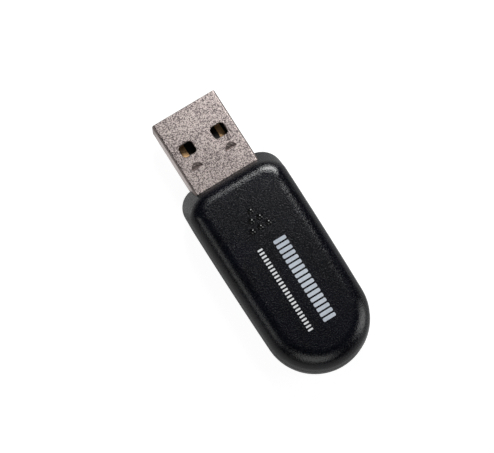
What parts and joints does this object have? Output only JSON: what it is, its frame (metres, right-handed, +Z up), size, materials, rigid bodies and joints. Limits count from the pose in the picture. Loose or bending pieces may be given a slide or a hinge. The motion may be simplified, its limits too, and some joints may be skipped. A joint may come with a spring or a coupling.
{
  "type": "usb bluetooth adapter",
  "caption": "Short-range radio adapter: round-ended black plastic body with a metal Type-A plug at its front.",
  "frame": {"origin": "centre of the bounding box's underside, on the surface that the body lies on", "axes": "X across the body, +Y along it towards the tip of the plug, +Z up out of the printed top face"},
  "size_m": [0.0184, 0.05, 0.0089],
  "materials": {
    "housing_plastic": "spark-eroded black plastic with a soft sheen",
    "smoked_plastic": "smoked clear plastic, polished",
    "plated_steel": "nickel-plated sheet steel, fine satin",
    "insulator_plastic": "black glass-filled plastic",
    "gold_plating": "thin gold plating, satin",
    "board_laminate": "green solder mask on glass laminate",
    "chip_epoxy": "moulded black epoxy",
    "tinned_lead": "tin-plated copper alloy",
    "crystal_can": "nickel-plated lid",
    "antenna_ceramic": "fired white ceramic",
    "filter_ceramic": "glazed ceramic block",
    "led_resin": "clear cast resin",
    "ferrite": "sintered ferrite",
    "tantalum_resin": "moulded yellow resin",
    "capacitor_ceramic": "fired tan ceramic",
    "resistor_ceramic": "glazed black film on ceramic"
  },
  "bodies": {
    "root": {"top_shell": "housing_plastic", "bottom_shell": "housing_plastic", "light_guide": "smoked_plastic", "plug_shell": "plated_steel", "plug_insulator": "insulator_plastic", "contact_power": "gold_plating", "contact_data_minus": "gold_plating", "contact_data_plus": "gold_plating", "contact_ground": "gold_plating", "circuit_board": "board_laminate", "radio_chip": "chip_epoxy", "memory_chip": "chip_epoxy", "memory_chip_leads": "tinned_lead", "voltage_regulator": "chip_epoxy", "regulator_leads": "tinned_lead", "crystal": "crystal_can", "chip_antenna": "antenna_ceramic", "balun_filter": "filter_ceramic", "status_led": "led_resin", "ferrite_bead": "ferrite", "surge_protector": "chip_epoxy", "tantalum_capacitor": "tantalum_resin", "capacitors": "capacitor_ceramic", "resistors": "resistor_ceramic"}
  },
  "joints": []
}
